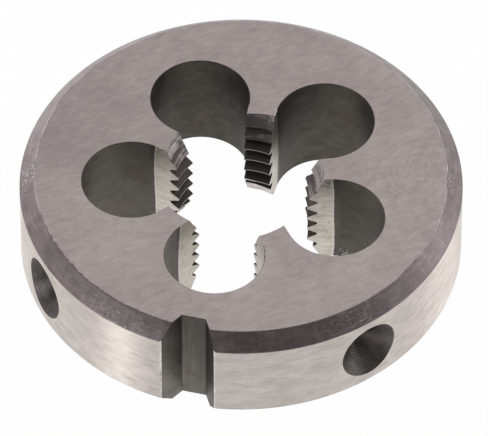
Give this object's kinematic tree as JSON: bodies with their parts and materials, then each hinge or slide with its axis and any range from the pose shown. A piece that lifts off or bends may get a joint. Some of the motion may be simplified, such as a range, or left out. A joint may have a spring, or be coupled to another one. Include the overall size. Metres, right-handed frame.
{
  "type": "round threading die",
  "caption": "Round steel threading die with relieved threaded lands between chip holes, a notched rim and conical seats for the stock's screws.",
  "frame": {"origin": "centre of the lower flat face, on the die's axis", "axes": "+Z along the die's axis, from the lower face to the upper; the adjusting notch in the rim faces -Y"},
  "size_m": [0.038, 0.0379, 0.01],
  "materials": {
    "tool_steel": "hardened tool steel, faces satin ground, rim brushed"
  },
  "bodies": {
    "root": {"threading_die": "tool_steel"}
  },
  "joints": []
}
